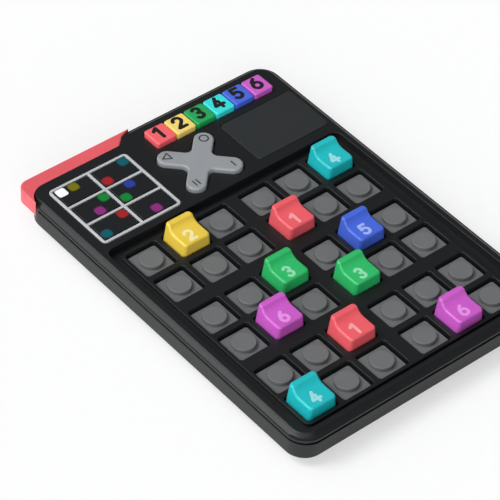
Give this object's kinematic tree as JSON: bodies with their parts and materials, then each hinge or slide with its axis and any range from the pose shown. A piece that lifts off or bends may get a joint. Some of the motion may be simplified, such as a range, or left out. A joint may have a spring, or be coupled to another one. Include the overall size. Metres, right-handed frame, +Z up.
{
  "type": "electronic sudoku board",
  "caption": "Handheld sudoku console: flat case with studded wells for lift-off number blocks, a lit display, press keys for the numbers and a tilting cross-shaped button.",
  "frame": {"origin": "middle of the case's outline, on the plane that the four feet stand on", "axes": "+X to the player's right, +Y away from the player towards the control deck, +Z up out of the grid"},
  "size_m": [0.1168, 0.1604, 0.0195],
  "materials": {
    "shell_plastic": "fine satin moulding",
    "cover_plastic": "fine satin moulding",
    "trim_plastic": "soft satin",
    "stud_plastic": "fine satin moulding",
    "circuit_board": "solder resist",
    "frame_plastic": "semi-gloss",
    "smoked_pane": "polished smoked plastic",
    "baffle_plastic": "plain moulding",
    "led_plastic": "clear potting",
    "red_plastic": "semi-gloss",
    "yellow_plastic": "semi-gloss",
    "green_plastic": "semi-gloss",
    "cyan_plastic": "semi-gloss",
    "blue_plastic": "semi-gloss",
    "magenta_plastic": "semi-gloss",
    "silicone": "soft matte",
    "button_plastic": "satin",
    "pivot_steel": "polished",
    "panel_plastic": "fine satin",
    "cell_foil": "foil",
    "socket_steel": "plated",
    "speaker_plastic": "plain moulding",
    "screw_steel": "plated",
    "foot_rubber": "matte"
  },
  "bodies": {
    "case": {"bottom_shell": "shell_plastic", "top_cover": "cover_plastic", "corner_trim": "trim_plastic", "stud_plate": "stud_plastic", "main_board": "circuit_board", "display_frame": "frame_plastic", "display_pane_1": "smoked_pane", "display_pane_2": "smoked_pane", "display_pane_3": "smoked_pane", "display_pane_4": "smoked_pane", "display_pane_5": "smoked_pane", "display_pane_6": "smoked_pane", "led_baffle": "baffle_plastic", "display_leds": "led_plastic", "key_mat": "silicone", "button_mat": "silicone", "panel_inlay": "panel_plastic", "battery_cell": "cell_foil", "charge_socket": "socket_steel", "speaker": "speaker_plastic", "case_screws": "screw_steel", "rubber_feet": "foot_rubber"},
    "key_1": {"number_key_1": "red_plastic"},
    "key_2": {"number_key_2": "yellow_plastic"},
    "key_3": {"number_key_3": "green_plastic"},
    "key_4": {"number_key_4": "cyan_plastic"},
    "key_5": {"number_key_5": "blue_plastic"},
    "key_6": {"number_key_6": "magenta_plastic"},
    "pivot": {"button_pivot": "pivot_steel"},
    "rocker": {"direction_button": "button_plastic"},
    "block_1a": {"number_block_1a": "red_plastic"},
    "block_1b": {"number_block_1b": "red_plastic"},
    "block_2a": {"number_block_2a": "yellow_plastic"},
    "block_3a": {"number_block_3a": "green_plastic"},
    "block_3b": {"number_block_3b": "green_plastic"},
    "block_4a": {"number_block_4a": "cyan_plastic"},
    "block_4b": {"number_block_4b": "cyan_plastic"},
    "block_5a": {"number_block_5a": "blue_plastic"},
    "block_6a": {"number_block_6a": "magenta_plastic"},
    "block_6b": {"number_block_6b": "magenta_plastic"}
  },
  "joints": [
    {"name": "key_1_press", "type": "slide", "parent": "case", "child": "key_1", "axis": [0, 0, -1], "range_m": [0, 0.0006], "stiffness_N_per_m": 800},
    {"name": "key_2_press", "type": "slide", "parent": "case", "child": "key_2", "axis": [0, 0, -1], "range_m": [0, 0.0006], "stiffness_N_per_m": 800},
    {"name": "key_3_press", "type": "slide", "parent": "case", "child": "key_3", "axis": [0, 0, -1], "range_m": [0, 0.0006], "stiffness_N_per_m": 800},
    {"name": "key_4_press", "type": "slide", "parent": "case", "child": "key_4", "axis": [0, 0, -1], "range_m": [0, 0.0006], "stiffness_N_per_m": 800},
    {"name": "key_5_press", "type": "slide", "parent": "case", "child": "key_5", "axis": [0, 0, -1], "range_m": [0, 0.0006], "stiffness_N_per_m": 800},
    {"name": "key_6_press", "type": "slide", "parent": "case", "child": "key_6", "axis": [0, 0, -1], "range_m": [0, 0.0006], "stiffness_N_per_m": 800},
    {"name": "button_tilt_a", "type": "hinge", "parent": "case", "child": "pivot", "pos_m": [0.00201, 0.04889, 0.01], "axis": [0.7071, 0.7071, 0], "range_deg": [-3, 3], "stiffness_Nm_per_rad": 0.3},
    {"name": "button_tilt_b", "type": "hinge", "parent": "pivot", "child": "rocker", "pos_m": [0.00201, 0.04889, 0.01], "axis": [0.7071, -0.7071, 0], "range_deg": [-3, 3], "stiffness_Nm_per_rad": 0.3},
    {"name": "block_1a_lift", "type": "slide", "parent": "case", "child": "block_1a", "axis": [0, 0, 1], "range_m": [0, 0.015]},
    {"name": "block_1b_lift", "type": "slide", "parent": "case", "child": "block_1b", "axis": [0, 0, 1], "range_m": [0, 0.015]},
    {"name": "block_2a_lift", "type": "slide", "parent": "case", "child": "block_2a", "axis": [0, 0, 1], "range_m": [0, 0.015]},
    {"name": "block_3a_lift", "type": "slide", "parent": "case", "child": "block_3a", "axis": [0, 0, 1], "range_m": [0, 0.015]},
    {"name": "block_3b_lift", "type": "slide", "parent": "case", "child": "block_3b", "axis": [0, 0, 1], "range_m": [0, 0.015]},
    {"name": "block_4a_lift", "type": "slide", "parent": "case", "child": "block_4a", "axis": [0, 0, 1], "range_m": [0, 0.015]},
    {"name": "block_4b_lift", "type": "slide", "parent": "case", "child": "block_4b", "axis": [0, 0, 1], "range_m": [0, 0.015]},
    {"name": "block_5a_lift", "type": "slide", "parent": "case", "child": "block_5a", "axis": [0, 0, 1], "range_m": [0, 0.015]},
    {"name": "block_6a_lift", "type": "slide", "parent": "case", "child": "block_6a", "axis": [0, 0, 1], "range_m": [0, 0.015]},
    {"name": "block_6b_lift", "type": "slide", "parent": "case", "child": "block_6b", "axis": [0, 0, 1], "range_m": [0, 0.015]}
  ]
}
